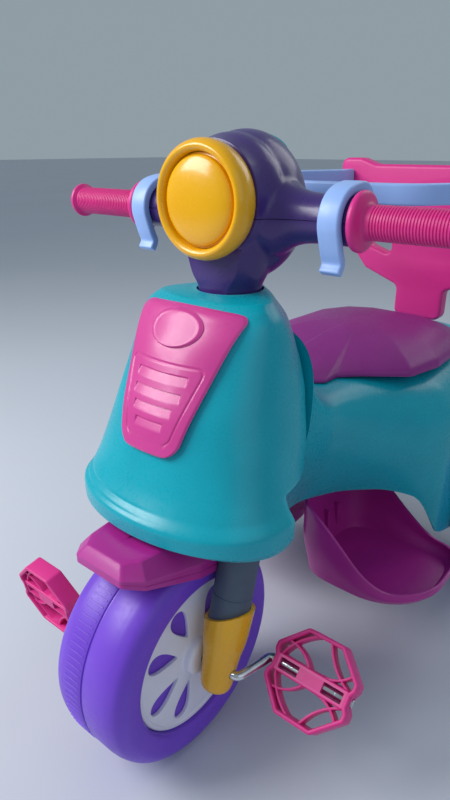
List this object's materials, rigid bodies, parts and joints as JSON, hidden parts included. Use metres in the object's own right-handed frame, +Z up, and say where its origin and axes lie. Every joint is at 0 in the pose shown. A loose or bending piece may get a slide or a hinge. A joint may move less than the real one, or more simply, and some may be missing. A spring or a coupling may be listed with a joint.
{
  "type": "children's pedal tricycle",
  "caption": "Children's pedal tricycle with a scooter-style moulded body, steered front wheel with pedals, saddle, backrest and a safety ring around the child.",
  "frame": {"origin": "on the ground under the middle of the tricycle's overall box", "axes": "+Z up, the front of the tricycle faces -Y, +X is the rider's left"},
  "size_m": [0.466, 0.728, 0.618],
  "materials": {
    "teal_body": "satin blow-moulded polyethylene",
    "rose_panel": "glossy injection-moulded plastic",
    "pink_parts": "satin injection-moulded plastic",
    "magenta_parts": "satin injection-moulded plastic",
    "seat": "fine-grained moulded plastic",
    "violet_head": "satin moulded plastic",
    "violet_tyre": "satin blow-moulded plastic",
    "yellow_parts": "glossy moulded plastic",
    "sky_parts": "satin moulded plastic",
    "white_parts": "satin moulded plastic",
    "grey_parts": "matte moulded plastic",
    "steel": "bright plated steel"
  },
  "bodies": {
    "body": {"front_shield": "teal_body", "shield_panel": "rose_panel", "panel_badge": "rose_panel", "rear_body": "teal_body", "seat": "seat", "backrest": "pink_parts", "safety_ring": "sky_parts", "footrest_left": "magenta_parts", "footrest_right": "magenta_parts", "steering_tube": "grey_parts", "steering_bush_upper": "white_parts", "steering_bush_lower": "white_parts", "rear_axle": "steel", "axle_cap_left": "white_parts", "axle_cap_right": "white_parts"},
    "steering": {"fork_crown": "grey_parts", "steering_column": "steel", "mudguard": "magenta_parts", "head_lower": "violet_head", "head_upper": "violet_head", "head_cap": "teal_body", "headlight_bezel": "yellow_parts", "headlight_lens": "yellow_parts", "handlebar": "steel", "fork_leg_left": "grey_parts", "fork_leg_right": "grey_parts", "fork_sleeve_left": "yellow_parts", "fork_sleeve_right": "yellow_parts", "grip_left": "pink_parts", "grip_right": "pink_parts", "brake_lever_left": "sky_parts", "brake_lever_right": "sky_parts"},
    "front_wheel": {"front_tyre": "violet_tyre", "crank_axle": "steel", "front_disc_left": "white_parts", "front_disc_right": "white_parts", "pedal_washer_left": "steel", "pedal_washer_right": "steel"},
    "pedal_left": {"pedal_left": "pink_parts"},
    "pedal_right": {"pedal_right": "pink_parts"},
    "rear_wheel_left": {"rear_tyre_left": "violet_tyre", "rear_disc_left_outer": "white_parts", "rear_disc_left_inner": "white_parts"},
    "rear_wheel_right": {"rear_tyre_right": "violet_tyre", "rear_disc_right_outer": "white_parts", "rear_disc_right_inner": "white_parts"}
  },
  "joints": [
    {"name": "steering_turn", "type": "hinge", "parent": "body", "child": "steering", "pos_m": [0, -0.244, 0.12], "axis": [0, 0.2672, 0.9636], "range_deg": [-28, 28]},
    {"name": "front_wheel_spin", "type": "hinge", "parent": "steering", "child": "front_wheel", "pos_m": [0, -0.244, 0.12], "axis": [1, 0, 0], "continuous": true},
    {"name": "pedal_left_spin", "type": "hinge", "parent": "front_wheel", "child": "pedal_left", "pos_m": [0.1515, -0.20206, 0.1222], "axis": [1, 0, 0], "continuous": true},
    {"name": "pedal_right_spin", "type": "hinge", "parent": "front_wheel", "child": "pedal_right", "pos_m": [-0.1515, -0.28594, 0.1178], "axis": [1, 0, 0], "continuous": true},
    {"name": "rear_wheel_left_spin", "type": "hinge", "parent": "body", "child": "rear_wheel_left", "pos_m": [0.177, 0.261, 0.098], "axis": [1, 0, 0], "continuous": true},
    {"name": "rear_wheel_right_spin", "type": "hinge", "parent": "body", "child": "rear_wheel_right", "pos_m": [-0.177, 0.261, 0.098], "axis": [1, 0, 0], "continuous": true}
  ]
}
